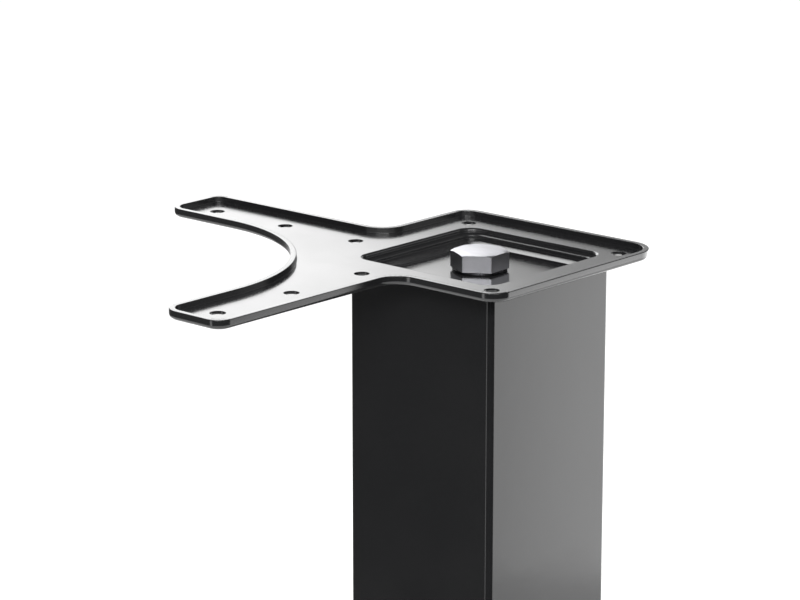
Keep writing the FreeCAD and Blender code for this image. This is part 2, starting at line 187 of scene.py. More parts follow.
# %% Steps that the finishes share
class Finish:
    """A material with a Principled shader and a short way to add nodes to it."""

    def __init__(self, name):
        self.material = bpy.data.materials.new(name)
        self.material.use_nodes = True
        self.tree = self.material.node_tree
        self.shader = self.tree.nodes["Principled BSDF"]
        self.place = self.tree.nodes.new("ShaderNodeTexCoord").outputs["Object"]

    def fill(self, node, inputs):
        """Sets a node's inputs: a number or colour as it is, a socket as a link."""
        for word, value in inputs.items():
            socket = node.inputs[word.replace("_", " ")]
            if isinstance(value, bpy.types.NodeSocket):
                self.tree.links.new(value, socket)
            else:
                socket.default_value = value

    def add(self, kind, **inputs):
        """A new node with its inputs set."""
        node = self.tree.nodes.new(kind)
        self.fill(node, inputs)
        return node

    def set(self, **inputs):
        """Sets the Principled shader's own inputs, and gives the material."""
        self.fill(self.shader, inputs)
        return self.material

    def placed(self, shift=(0.0, 0.0, 0.0), scale=(1.0, 1.0, 1.0), turn=0.0):
        """The piece's coordinates, shifted, stretched along an axis and turned about Z."""
        node = self.add("ShaderNodeMapping", Vector=self.place, Location=shift, Scale=scale,
                        Rotation=(0.0, 0.0, turn))
        return node.outputs["Vector"]

    def noise(self, scale, detail=2.0, vector=None, rough=0.5):
        """A noise between 0 and 1."""
        node = self.add("ShaderNodeTexNoise", Vector=vector or self.place, Scale=scale,
                        Detail=detail, Roughness=rough)
        return node.outputs["Fac"]

    def span(self, source, low, high, start=0.3, end=0.7):
        """A noise turned into a number between two values."""
        node = self.tree.nodes.new("ShaderNodeMapRange")
        for socket, value in zip(node.inputs[1:5], (start, end, low, high)):
            socket.default_value = value
        self.tree.links.new(source, node.inputs["Value"])
        return node.outputs["Result"]

    def blend(self, factor, first, second):
        """A colour between two, driven by a factor."""
        node = self.tree.nodes.new("ShaderNodeMix")
        node.data_type = "RGBA"
        self.tree.links.new(factor, node.inputs["Factor"])
        for socket, colour in zip(node.inputs[6:8], (first, second)):
            if isinstance(colour, bpy.types.NodeSocket):
                self.tree.links.new(colour, socket)
            else:
                socket.default_value = (*colour, 1.0)
        return node.outputs[2]

    def bump(self, height, distance, under=None):
        """A bump of a height in metres, over another bump if there is one."""
        node = self.add("ShaderNodeBump", Height=height, Distance=distance, Strength=1.0)
        if under:
            self.tree.links.new(under, node.inputs["Normal"])
        return node.outputs["Normal"]


# %% [markdown]
# The plate and the tube have the same baked gloss black paint. Its colour hardly matters, because
# almost all that one sees on it is what it mirrors. What makes it read as paint is the orange
# peel, a shallow waviness a millimetre or two long, and roughness that changes a little where
# hands have been. A few fine specks of dust lie on it.


# %% Gloss black paint
def gloss_paint(name, peel, seed, index, low, high):
    """Gloss black paint with orange peel of a height in metres."""
    paint = Finish(name)
    where = paint.placed(shift=(seed, -seed, seed))
    patches = paint.noise(38.0, 3.0, where)
    fine = paint.noise(620.0, 2.0, where)
    specks = paint.noise(4200.0, 1.0, where)
    tint = paint.blend(patches, (0.0085, 0.0088, 0.0095), (0.0125, 0.0125, 0.013))
    dust = paint.span(specks, 0.0, 0.35, 0.68, 0.8)
    tint = paint.blend(dust, tint, (0.035, 0.035, 0.036))
    gloss = paint.span(patches, low, high)
    normal = paint.bump(fine, peel)
    normal = paint.bump(paint.noise(110.0, 1.0, where), peel * 2.5, under=normal)
    return paint.set(Base_Color=tint, Roughness=gloss, Normal=normal, IOR=index)


plate_paint = gloss_paint("plate_gloss_black", 0.0000012, 0.3, 1.6, 0.15, 0.19)
tube_paint = gloss_paint("tube_gloss_black", 0.0000022, 1.7, 1.45, 0.06, 0.10)
print("paints:", plate_paint.name, tube_paint.name)

# %% [markdown]
# The bolt is plated bright: a grey metal whose roughness follows faint brushed lines across its
# top, with a soft cloudy change in its colour. The levelling stud has the same plating, in a
# slightly lighter grey.


# %% Bright plating
def plating(name, colour, dark, low, high, turn):
    """Bright plated steel, brushed faintly in one direction."""
    metal = Finish(name)
    along = metal.placed(scale=(0.06, 1.0, 0.5), turn=turn)
    lines = metal.noise(900.0, 3.0, along, 0.6)
    cloud = metal.noise(160.0, 3.0)
    tint = metal.blend(metal.span(cloud, 0.0, 1.0), colour, dark)
    normal = metal.bump(lines, 0.000005)
    normal = metal.bump(cloud, 0.000006, under=normal)
    return metal.set(Base_Color=tint, Metallic=1.0, Roughness=metal.span(lines, low, high),
                     Normal=normal)


BOLT_TURN = math.radians(33.7)
bolt_plating = plating("bolt_bright_plating", (0.50, 0.50, 0.53), (0.43, 0.43, 0.46),
                       0.28, 0.36, BOLT_TURN)
stud_plating = plating("stud_plating", (0.60, 0.61, 0.63), (0.47, 0.48, 0.50),
                       0.24, 0.36, 0.0)
print("platings:", bolt_plating.name, stud_plating.name)

# %% [markdown]
# The washer is blackened steel, and the anchor and its nut are plain rolled steel with mill scale
# on it. The threaded bush is brass. All of them are small, so a cloudy colour and a fine bump are
# enough, and one function makes the three of them.


# %% Small metal parts
def small_metal(name, colour, dark, roughness, grain):
    """A cloudy metal with a fine grain."""
    metal = Finish(name)
    cloud = metal.noise(240.0, 4.0, rough=0.6)
    tint = metal.blend(metal.span(cloud, 0.0, 1.0), colour, dark)
    gloss = metal.span(metal.noise(700.0, 2.0), roughness - 0.06, roughness + 0.08)
    normal = metal.bump(metal.noise(grain, 2.0), 0.00001)
    return metal.set(Base_Color=tint, Metallic=1.0, Roughness=gloss, Normal=normal)


washer_black = small_metal("washer_blackened", (0.050, 0.050, 0.055), (0.030, 0.030, 0.033),
                           0.30, 2600.0)
rolled_steel = small_metal("rolled_steel", (0.33, 0.33, 0.34), (0.20, 0.19, 0.19), 0.46, 1800.0)
bush_brass = small_metal("bush_brass", (0.74, 0.53, 0.22), (0.62, 0.42, 0.16), 0.26, 2000.0)
print("small metals:", washer_black.name, rolled_steel.name, bush_brass.name)

# %% [markdown]
# Three kinds of plastic are moulded in black: the plug's flexible one, the pad's hard one with a
# fine sparked texture from its mould, and the sole's soft rubber, which is dull and holds dust.


# %% Moulded plastic and rubber
def moulded(name, colour, dusty, roughness, grain, depth):
    """A moulded black with the mould's grain and a little dust."""
    plastic = Finish(name)
    dust = plastic.span(plastic.noise(90.0, 5.0, rough=0.65), 0.0, 0.6, 0.45, 0.75)
    tint = plastic.blend(dust, colour, dusty)
    texture = plastic.noise(grain, 3.0, rough=0.6)
    gloss = plastic.span(texture, roughness - 0.05, roughness + 0.08)
    return plastic.set(Base_Color=tint, Roughness=gloss, Normal=plastic.bump(texture, depth))


plug_black = moulded("plug_plastic", (0.016, 0.016, 0.017), (0.030, 0.029, 0.028),
                     0.42, 1500.0, 0.00002)
pad_black = moulded("pad_plastic", (0.014, 0.014, 0.015), (0.032, 0.031, 0.030),
                    0.36, 2600.0, 0.00003)
sole_black = moulded("sole_rubber", (0.020, 0.020, 0.020), (0.055, 0.052, 0.048),
                     0.74, 1900.0, 0.00005)
print("moulded:", plug_black.name, pad_black.name, sole_black.name)

# %% [markdown]
# The corner plate is a shallow tray: a square head with two arms at a right angle and one wide
# sweep between them. It could be drawn as a curve, but a plane that is cut up and trimmed shows
# better how the outline is made of straight bands. The plane covers the whole L, bisect cuts mark
# the bands, the faces outside the L are deleted, and what is left is dissolved into one face.

# %% The plate's flat outline
HEAD = 42.2 * MM
REACH = 120.3 * MM
ARM_OUTER = 0.8 * MM
ARM_INNER = -24.7 * MM
PLATE_THICK = 3.1 * MM
PLATE_UNDER = RIM_TOP - PLATE_THICK

clear_selection()
middle = (HEAD - REACH) / 2
bpy.ops.mesh.primitive_plane_add(size=HEAD + REACH, location=(middle, middle, RIM_TOP))
plate = settle("corner_plate_tray")
open_mesh(plate)
for line in (-HEAD, ARM_INNER, ARM_OUTER):
    for across in ((1, 0, 0), (0, 1, 0)):
        bpy.ops.mesh.select_all(action="SELECT")
        bpy.ops.mesh.bisect(plane_co=(line, line, 0), plane_no=across)


def outside_plate(face):
    """Whether a face of the cut plane lies outside the L."""
    x, y, _ = face.calc_center_median()
    if x < -HEAD:
        return not ARM_INNER < y < ARM_OUTER
    if y < -HEAD:
        return not ARM_INNER < x < ARM_OUTER
    return x < ARM_INNER and y < ARM_INNER


removed = pick("FACE", outside_plate)
bpy.ops.mesh.delete(type="FACE")
bpy.ops.mesh.select_all(action="SELECT")
bpy.ops.mesh.dissolve_limited(angle_limit=math.radians(1))
print("plate outline:", removed, "faces trimmed away")

# %% [markdown]
# Extruding the one face downwards makes a sharp-edged slab. Its upright edges are then beveled
# into the real radii: small at the arm tips, larger at the head's outward corner, and 64 mm for the
# sweep. A bevel on a square corner is a true arc with the bevel's width as its radius.

# %% The slab and its rounded outline
bpy.ops.mesh.select_all(action="SELECT")
extrude(z=-PLATE_THICK)
face_outwards()
corner_rounds = (
    (6.5 * MM, 10, ((HEAD, -HEAD), (-HEAD, HEAD))),
    (11.0 * MM, 14, ((HEAD, HEAD),)),
    (4.8 * MM, 10, ((-REACH, ARM_OUTER), (ARM_OUTER, -REACH))),
    (7.0 * MM, 10, ((-REACH, ARM_INNER), (ARM_INNER, -REACH))),
    (7.5 * MM, 8, ((-HEAD, ARM_OUTER), (ARM_OUTER, -HEAD))),
    (64.0 * MM, 36, ((ARM_INNER, ARM_INNER),)),
)
for radius, segments, corners in corner_rounds:
    pick("EDGE", lambda edge: upright(edge) and any(
        near(edge.verts[0].co.x, x) and near(edge.verts[0].co.y, y) for x, y in corners))
    round_off(radius, segments)

# %% [markdown]
# The tray's rim is the top face inset by its width, with the inner face pushed down to the tray's
# floor. The rim's top edges and its foot are rounded a little. The lower edge has the largest
# round, which mirrors the dark below the plate and makes the line under the bright wall.

# %% The rim, the tray floor and the rounded edges
TRAY_FLOOR = RIM_TOP - 2.0 * MM
RIM_WIDTH = 2.0 * MM
pick("FACE", lambda face: face.normal.z > 0.9)
bpy.ops.mesh.inset(thickness=RIM_WIDTH, depth=0.0, use_even_offset=True)
extrude(z=TRAY_FLOOR - RIM_TOP)
face_outwards()
for height, size, segments in ((TRAY_FLOOR, 0.25 * MM, 3), (RIM_TOP, 0.22 * MM, 3),
                               (PLATE_UNDER, 1.5 * MM, 7)):
    pick("EDGE", lambda edge: edge_level(edge, height))
    round_off(size, segments)
close_mesh()
print("tray floor at", round(TRAY_FLOOR / MM, 2), "mm")

# %% [markdown]
# Under the head the plate has a square seat that the tube's end meets, and a smaller spigot that
# goes into the tube. Each is a block with its upright corners rounded, made by one function and
# added to the slab by a union. The same function starts the punch for the stepped recess.


# %% Rounded blocks, the seat and the spigot
def rounded_block(name, half, low, high, corner, foot=0.0):
    """A square block about the axis with round upright corners and a rounded lower edge."""
    clear_selection()
    bpy.ops.mesh.primitive_cube_add(size=1.0, location=(0, 0, (low + high) / 2),
                                    scale=(2 * half, 2 * half, high - low))
    block = settle(name)
    open_mesh(block)
    pick("EDGE", upright)
    round_off(corner, 8)
    if foot:
        pick("EDGE", lambda edge: edge_level(edge, low))
        round_off(foot, 4)
    close_mesh()
    return block


TUBE = 30.0 * MM
TUBE_CORNER = 2.0 * MM
IN_TUBE = 27.9 * MM
combine(plate, rounded_block("seat_block", TUBE, TUBE_TOP, PLATE_UNDER + 0.6 * MM,
                             TUBE_CORNER), "UNION")
combine(plate, rounded_block("spigot_block", IN_TUBE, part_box("corner_plate")[0].z,
                             TUBE_TOP + 0.4 * MM, 1.2 * MM, 0.3 * MM), "UNION")

# %% [markdown]
# The head has a square recess in three steps, whose ledges slope a little towards the bolt, as a
# cast part needs to leave its mould. One punch takes it all out. Its lower face is inset or scaled
# for each ledge and extruded for each wall, its level edges are rounded, and its mouth is flared,
# which leaves a rounded lip on the tray's floor. The last band of the flare goes on a little
# further than the others, so that it crosses the floor instead of ending in it.

# %% The stepped recess
RECESS = 28.4 * MM
UPPER_LEDGE = 2.1 * MM
LIP = 0.8 * MM
# In millimetres: the lower ledge's half width at its two edges, how far the edges of all the steps
# lie below the tray's floor, and the rounds of those edges.
LOWER_LEDGE_OUTSIDE = 26.3
LOWER_LEDGE_INSIDE = 21.5
EDGE_DEPTHS = (1.4, 1.9, 3.05, 3.8, 4.85)
EDGE_ROUNDS = (0.2, 0.3, 0.2, 0.3, 0.2)
RECESS_FLOOR = TRAY_FLOOR - EDGE_DEPTHS[-1] * MM
FLARE_STEP = 15
LAST_STEP = 1.6
punch = rounded_block("recess_punch", RECESS, TRAY_FLOOR - EDGE_DEPTHS[0] * MM, TRAY_FLOOR - LIP,
                      5.8 * MM)
open_mesh(punch)
pick("FACE", lambda face: face.normal.z < -0.9)
bpy.ops.mesh.inset(thickness=UPPER_LEDGE, depth=0.5 * MM, use_even_offset=True)
extrude(z=-1.15 * MM)
extrude(z=-0.75 * MM)
shrink = LOWER_LEDGE_INSIDE / LOWER_LEDGE_OUTSIDE
bpy.ops.transform.resize(value=(shrink, shrink, 1.0))
extrude(z=-1.05 * MM)
for depth, size in zip(EDGE_DEPTHS, EDGE_ROUNDS):
    pick("EDGE", lambda edge: edge_level(edge, TRAY_FLOOR - depth * MM))
    round_off(size * MM, 3)
pick("FACE", lambda face: face.normal.z > 0.9)
for turn in range(0, 90, FLARE_STEP):
    low, high = math.radians(turn), math.radians(turn + FLARE_STEP)
    past = LAST_STEP if turn + FLARE_STEP == 90 else 1.0
    extrude(z=past * LIP * (math.sin(high) - math.sin(low)))
    grow = 1 + past * LIP * (math.cos(low) - math.cos(high)) / RECESS
    bpy.ops.transform.resize(value=(grow, grow, 1.0))
extrude(z=3.0 * MM)
face_outwards()
close_mesh()
combine(plate, punch, "DIFFERENCE")
print("recess floor at", round(RECESS_FLOOR / MM, 2), "mm")

# %% [markdown]
# Round pieces and round holes come from a profile that is spun about an upright line. The profile
# starts as one vertex, which is a small plane merged at its centre. It is extruded from point to
# point as one draws a line, and spun through a whole turn. Its ends are merged, so the poles are
# closed.


# %% Turning a profile
def first_vertex(name, place, size):
    """Opens a new piece that is a single selected vertex."""
    clear_selection()
    bpy.ops.mesh.primitive_plane_add(size=size, location=place)
    piece = settle(name)
    open_mesh(piece)
    bpy.ops.mesh.select_mode(type="VERT")
    bpy.ops.mesh.select_all(action="SELECT")
    bpy.ops.mesh.merge(type="CENTER")
    return piece


def turned(name, profile, steps, centre=(0.0, 0.0)):
    """A round solid from a profile of (radius, height), spun about an upright line."""
    x, y = centre
    radius, height = profile[0]
    piece = first_vertex(name, (x + radius, y, height), 1.0 * MM)
    for radius_next, height_next in profile[1:]:
        extrude(x=radius_next - radius, z=height_next - height)
        radius, height = radius_next, height_next
    bpy.ops.mesh.select_all(action="SELECT")
    bpy.ops.mesh.spin(steps=steps, angle=2 * math.pi, center=(x, y, 0.0), axis=(0, 0, 1))
    bpy.ops.mesh.select_all(action="SELECT")
    bpy.ops.mesh.remove_doubles(threshold=0.000002)
    face_outwards()
    close_mesh()
    return piece


def arc(radius, height, size, start, end, parts):
    """Points on an arc in the profile's plane, from one angle to another, in degrees."""
    points = []
    for i in range(parts + 1):
        angle = math.radians(start + (end - start) * i / parts)
        points.append((radius + size * math.cos(angle), height + size * math.sin(angle)))
    return points


# %% [markdown]
# The plate is fixed to the table top by screws: three holes along each arm and one in each
# outward corner of the head. A spun punch with a flared mouth and a flared foot makes the hole and
# both of its lips in one cut. It is made anew for each hole, because a cut uses it up.

# %% The screw holes and the bolt's hole
SCREW = 2.5 * MM
BOLT_HOLE = 5.4 * MM
ARM_MIDDLE = -12.3 * MM
lip = 0.05 * MM
holes = [(-distance * MM, ARM_MIDDLE) for distance in (107.8, 75.55, 43.3)]
holes += [(y, x) for x, y in holes]
holes += [(32 * MM, -32 * MM), (32 * MM, 32 * MM), (-32 * MM, 32 * MM)]
for centre in holes:
    punch = turned("screw_punch", [
        (0.0, PLATE_UNDER - 2 * MM),
        (SCREW + lip, PLATE_UNDER - 2 * MM),
        (SCREW + lip, PLATE_UNDER - 0.1 * lip),
        (SCREW + 0.3 * lip, PLATE_UNDER + 0.4 * lip),
        (SCREW, PLATE_UNDER + lip),
        (SCREW, TRAY_FLOOR - lip),
        (SCREW + 0.1 * lip, TRAY_FLOOR - 0.55 * lip),
        (SCREW + 0.4 * lip, TRAY_FLOOR - 0.2 * lip),
        (SCREW + 1.1 * lip, TRAY_FLOOR + 0.1 * lip),
        (SCREW + 1.1 * lip, TRAY_FLOOR + 2 * MM),
        (0.0, TRAY_FLOOR + 2 * MM),
    ], 48, centre)
    combine(plate, punch, "DIFFERENCE")
bolt_punch = turned("bolt_punch", [
    (0.0, RECESS_FLOOR - 9 * MM),
    (BOLT_HOLE, RECESS_FLOOR - 9 * MM),
    (BOLT_HOLE, RECESS_FLOOR + 1 * MM),
    (0.0, RECESS_FLOOR + 1 * MM),
], 48)
combine(plate, bolt_punch, "DIFFERENCE")
smooth(plate, 50.0)
finish_piece(plate, "leg", "corner_plate", plate_paint)

# %% [markdown]
# The leg is a drawn square tube with a 2 mm wall. A block is made hollow by insetting both of its
# end faces and bridging them, which leaves a clean wall all the way up. Then the outer upright
# edges get the tube's 2 mm radius and the inner ones a smaller one, as in a real section. Last,
# the outer edges of the two cut ends are eased.


# %% The square tube
WALL = 2.0 * MM


def outer_end(edge):
    """Whether an edge joins a cut end of the tube to its outside."""
    at_end = edge_level(edge, TUBE_TOP) or edge_level(edge, TUBE_UNDER)
    folded = len({near(face.normal.z, 0, 0.1) for face in edge.link_faces}) == 2
    return at_end and folded and all(
        max(abs(v.co.x), abs(v.co.y)) > TUBE - WALL / 2 for v in edge.verts)


clear_selection()
bpy.ops.mesh.primitive_cube_add(size=1.0, location=(0, 0, (TUBE_UNDER + TUBE_TOP) / 2),
                                scale=(2 * TUBE, 2 * TUBE, TUBE_TOP - TUBE_UNDER))
tube = settle("square_tube")
open_mesh(tube)
pick("FACE", lambda face: abs(face.normal.z) > 0.9)
bpy.ops.mesh.inset(thickness=WALL, depth=0.0, use_even_offset=True)
bpy.ops.mesh.bridge_edge_loops()
pick("EDGE", lambda edge: upright(edge) and near(abs(edge.verts[0].co.x), TUBE))
round_off(TUBE_CORNER, 8)
pick("EDGE", lambda edge: upright(edge) and near(abs(edge.verts[0].co.x), TUBE - WALL)
     and near(abs(edge.verts[0].co.y), TUBE - WALL))
round_off(0.8 * MM, 4)
pick("EDGE", outer_end)
round_off(0.2 * MM, 3)
face_outwards()
close_mesh()
smooth(tube)
finish_piece(tube, "leg", "leg_tube", tube_paint)

# %% [markdown]
# A thread is one helical ridge. A zigzag line of vertices, one tooth for each turn, is turned once
# round the axis by a Screw modifier that climbs by one pitch, so each tooth meets the next. A
# tooth is a flank, a crest, a flank and a root. The ends are then cut off square and capped, which
# leaves a closed threaded rod.


# %% A threaded rod
PITCH = 1.5 * MM
CREST = 5.0 * MM
ROOT = 4.12 * MM


def threaded_rod(name, low, high):
    """A right-hand M10 thread between two heights, closed at both ends."""
    rod = first_vertex(name, (ROOT, 0, low - 2 * PITCH), 0.2 * MM)
    tooth = CREST - ROOT
    for _ in range(math.ceil((high - low) / PITCH) + 4):
        extrude(x=tooth, z=0.40 * PITCH)
        extrude(z=0.12 * PITCH)
        extrude(x=-tooth, z=0.40 * PITCH)
        extrude(z=0.08 * PITCH)
    close_mesh()
    turn = rod.modifiers.new("climb", "SCREW")
    turn.screw_offset = PITCH
    turn.steps = turn.render_steps = 40
    turn.use_merge_vertices = True
    bpy.ops.object.modifier_apply(modifier=turn.name)
    open_mesh(rod)
    bpy.ops.mesh.select_all(action="SELECT")
    bpy.ops.mesh.remove_doubles(threshold=0.000005)
    for height, above in ((low, False), (high, True)):
        bpy.ops.mesh.select_all(action="SELECT")
        bpy.ops.mesh.bisect(plane_co=(0, 0, height), plane_no=(0, 0, 1), use_fill=True,
                            clear_inner=not above, clear_outer=above)
    face_outwards()
    close_mesh()
    return rod


# %% [markdown]
# A hexagon head is a six-sided bar whose corners were turned off on a lathe, so its top edge is a
# row of arcs. That is exactly the overlap of a hexagon prism and a turned blank with a sloping
# shoulder, and an intersection gives it. The blank's top is crowned a little, so it mirrors a
# spread of its surroundings. The prism is first turned to its place and its upright and lower
# edges are rounded. Without a window the rotate operator turns the other way, hence the minus.


# %% Hexagon with a turned shoulder
CROWN = 0.2 * MM
SHOULDER = 0.36


def corner_angle(piece):
    """The direction of one corner of the open hexagon, seen from above."""
    mesh = bmesh.from_edit_mesh(piece.data)
    mesh.verts.ensure_lookup_table()
    x, y, _ = mesh.verts[0].co
    return math.atan2(y, x)


def hexagon_head(name, flats, low, high, turn):
    """A hexagon about the axis with its top corners turned off and a slightly crowned top."""
    corner = flats / math.sqrt(3)
    clear_selection()
    bpy.ops.mesh.primitive_cylinder_add(vertices=6, radius=corner, depth=high - low,
                                        location=(0, 0, (low + high) / 2))
    head = settle(name)
    open_mesh(head)
    first = corner_angle(head)
    bpy.ops.mesh.select_all(action="SELECT")
    bpy.ops.transform.rotate(value=-(turn - first), orient_axis="Z", center_override=(0, 0, 0))
    pick("EDGE", upright)
    round_off(0.25 * MM, 3)
    pick("EDGE", lambda edge: edge_level(edge, low))
    round_off(0.15 * MM, 2)
    close_mesh()
    flat = flats / 2 + 0.3 * MM
    blank = turned("lathe_blank", [
        (0.0, low - 1 * MM),
        (corner + 2 * MM, low - 1 * MM),
        (corner + 2 * MM, high - CROWN - SHOULDER * (corner + 2 * MM - flat)),
        (flat, high - CROWN),
        *[(flat * share / 8, high - CROWN * (share / 8) ** 2) for share in range(7, -1, -1)],
    ], 96)
    combine(head, blank, "INTERSECT")
    return head


# %% [markdown]
# The bolt holds the plate down on the tube. It is a hexagon head and a threaded shank, joined into
# one mesh, with a thin blackened washer under it.

# %% The bolt
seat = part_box("bolt_washer")[1].z
bolt_low, bolt_high = (corner.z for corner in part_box("plate_bolt"))
bolt = hexagon_head("plate_bolt_head", 16.8 * MM, seat, bolt_high, BOLT_TURN)
shank = threaded_rod("plate_bolt_shank", bolt_low, seat + 0.4 * MM)
combine(bolt, shank, "UNION")
smooth(bolt, 30.0)
finish_piece(bolt, "leg", "plate_bolt", bolt_plating)

# %% The washer
washer_low, washer_high = (corner.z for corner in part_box("bolt_washer"))
WASHER = 9.0 * MM
ease = 0.25 * MM
washer = turned("plate_washer", [
    *arc(WASHER - ease, washer_low + ease, ease, -90, 0, 3),
    *arc(WASHER - ease, washer_high - ease, ease, 0, 90, 3),
    *arc(BOLT_HOLE + ease, washer_high - ease, ease, 90, 180, 3),
    *arc(BOLT_HOLE + ease, washer_low + ease, ease, 180, 270, 3),
    (WASHER - ease, washer_low),
], 96)
smooth(washer)
finish_piece(washer, "leg", "bolt_washer", washer_black)

# %% [markdown]
# The anchor plate, its nut and the brass bush sit inside the tube and the plug. Their solids are
# already right, so they keep them and only take a finish.

# %% Finishes for the hidden solids
for word, finish in (("tube_anchor", rolled_steel), ("anchor_nut", rolled_steel),
                     ("plug_bush", bush_brass)):
    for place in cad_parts[word].material_slots:
        place.material = finish
    print(word, "keeps its solid")

# %% [markdown]
# The plug closes the tube's lower end. Its flange shows as a thin black band under the paint, and
# from below as a square with a round boss for the bush. The flange is one block, the skirt that
# grips the tube is another, a third one hollows it, and the boss and its ribs stand inside. The
# underside gets a shallow sunk panel, as such plugs have so that they don't dish when they cool in
# the mould.

# %% The plug
plug_low, plug_high = (corner.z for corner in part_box("end_plug"))
FLANGE = 4.0 * MM
RIB_REACH = 26.6 * MM
RIB_HALF = 1.2 * MM
BUSH = 7.0 * MM
plug = rounded_block("tube_end_plug", TUBE, plug_low, plug_low + FLANGE, TUBE_CORNER, 0.8 * MM)
panel = rounded_block("plug_panel", 26.0 * MM, plug_low - 1.0 * MM, plug_low + 0.5 * MM,
                      2.0 * MM)
combine(plug, panel, "DIFFERENCE")
skirt = rounded_block("plug_skirt", IN_TUBE, plug_low + FLANGE - 0.3 * MM, plug_high, 2.6 * MM)
combine(plug, skirt, "UNION")
hollow = rounded_block("plug_hollow", 25.3 * MM, plug_low + FLANGE, plug_high + 2 * MM,
                       1.3 * MM, 0.4 * MM)
combine(plug, hollow, "DIFFERENCE")
boss_top = plug_low + 20.0 * MM
boss = turned("plug_boss", [
    (0.0, plug_low + 0.2 * MM),
    *arc(11.6 * MM, plug_low + 0.6 * MM, 0.4 * MM, -90, 0, 3),
    (12.0 * MM, boss_top),
    (0.0, boss_top),
], 64)
combine(plug, boss, "UNION")
for wide, deep in ((RIB_REACH, RIB_HALF), (RIB_HALF, RIB_REACH)):
    clear_selection()
    bpy.ops.mesh.primitive_cube_add(
        size=1.0, scale=(2 * wide, 2 * deep, boss_top - plug_low - 3 * MM),
        location=(0, 0, (boss_top + plug_low + 3 * MM) / 2 - 0.2 * MM))
    rib = settle("plug_rib")
    open_mesh(rib)
    pick("EDGE", upright)
    round_off(0.3 * MM, 2)
    close_mesh()
    combine(plug, rib, "UNION")
bore = turned("bush_bore", [
    (0.0, plug_low - 2 * MM),
    (BUSH, plug_low - 2 * MM),
    (BUSH, boss_top + 2 * MM),
    (0.0, boss_top + 2 * MM),
], 96)
combine(plug, bore, "DIFFERENCE")
smooth(plug)
finish_piece(plug, "leg", "end_plug", plug_black)

# %% [markdown]
# The stud is one turned steel part: a threaded shank, a hexagon collar for the spanner, a smooth
# neck that turns in the pad, and a rivet head below the pad's web that keeps it from pulling out.

# %% The levelling stud
stud_low, stud_high = (corner.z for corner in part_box("foot_stud"))
pad_low, pad_high = (corner.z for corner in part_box("foot_pad"))
collar_low = pad_high + 0.2 * MM
collar_high = collar_low + 6.0 * MM
stud = hexagon_head("foot_stud_collar", 17.0 * MM, collar_low, collar_high, 0.0)
shank = threaded_rod("foot_stud_thread", collar_high - 0.4 * MM, stud_high)
tip = turned("tip_cone", [
    (0.0, collar_low - 1 * MM),
    (8.0 * MM, collar_low - 1 * MM),
    (8.0 * MM, stud_high - 4.2 * MM),
    (3.8 * MM, stud_high),
    (0.0, stud_high),
], 64)
combine(shank, tip, "INTERSECT")
combine(stud, shank, "UNION")
NECK = 4.0 * MM
neck = turned("foot_stud_neck", [
    (0.0, stud_low),
    *arc(6.1 * MM, stud_low + 0.4 * MM, 0.4 * MM, -90, 0, 3),
    *arc(6.1 * MM, stud_low + 1.2 * MM, 0.4 * MM, 0, 90, 3),
    (NECK, stud_low + 1.6 * MM),
    (NECK, collar_low + 0.3 * MM),
    (0.0, collar_low + 0.3 * MM),
], 64)
combine(stud, neck, "UNION")
smooth(stud, 30.0)
finish_piece(stud, "stud", "foot_stud", stud_plating)

# %% [markdown]
# The pad spreads the load on the floor. It is moulded as a shallow cone with a hub that holds the
# stud's neck. Its profile is drawn once round its section, with arcs where the mould has radii and
# a shallow step on the cone, and is spun.

# %% The pad
SOLE = 20.5 * MM
BORE = 4.06 * MM
cone = math.degrees(math.atan2(7.5, 12.0))
pad = turned("foot_pad_disc", [
    (BORE, pad_low + 4.6 * MM),
    (8.0 * MM, pad_low + 4.6 * MM),
    (8.0 * MM, pad_low + 2.0 * MM),
    (SOLE + 0.05 * MM, pad_low + 2.0 * MM),
    (SOLE + 0.05 * MM, pad_low),
    *arc(22.4 * MM, pad_low + 0.6 * MM, 0.6 * MM, -90, 0, 4),
    *arc(21.8 * MM, pad_low + 3.9 * MM, 1.2 * MM, 0, 90 - cone * 0.5, 6),
    (20.6 * MM, pad_low + 5.75 * MM),
    (20.0 * MM, pad_low + 5.75 * MM),
    (12.4 * MM, pad_low + 10.55 * MM),
    *arc(12.6 * MM, pad_low + 12.0 * MM, 1.45 * MM, 235, 180, 4),
    *arc(10.2 * MM, pad_low + 11.7 * MM, 0.8 * MM, 0, 90, 5),
    (BORE + 0.4 * MM, pad_high),
    (BORE, pad_high - 0.4 * MM),
    (BORE, pad_low + 4.6 * MM),
], 120)
smooth(pad, 35.0)
finish_piece(pad, "foot", "foot_pad", pad_black)

# %% [markdown]
# The soft sole is pressed into the pad and stands 1 mm below it. Rings are moulded into its
# underside, which keep it from sliding and from sticking to the floor.

# %% The sole
sole_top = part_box("foot_sole")[1].z
GROOVE = 0.45 * MM
GROOVE_MOUTH = 0.6 * MM
GROOVE_BED = 0.35 * MM
underside = [(0.0, 0.0)]
for ring in (4.0, 7.5, 11.0, 14.5, 18.0):
    underside += [
        (ring * MM - GROOVE_MOUTH, 0.0),
        (ring * MM - GROOVE_BED, GROOVE),
        (ring * MM + GROOVE_BED, GROOVE),
        (ring * MM + GROOVE_MOUTH, 0.0),
    ]
sole = turned("foot_sole_disc", [
    *underside,
    *arc(SOLE - 0.5 * MM, 0.5 * MM, 0.5 * MM, -90, 0, 4),
    (SOLE, sole_top),
    (0.0, sole_top),
], 120)
smooth(sole, 35.0)
finish_piece(sole, "foot", "foot_sole", sole_black)

# %% [markdown]
# The photograph is a studio shot on white. Here the floor is a pale plane that also glows for
# camera rays, so it renders white while it still takes the leg's shadow. Mirrored and refracted
# rays see it white too. The room is white in the same way, and dimmer where it lights dull
# surfaces.


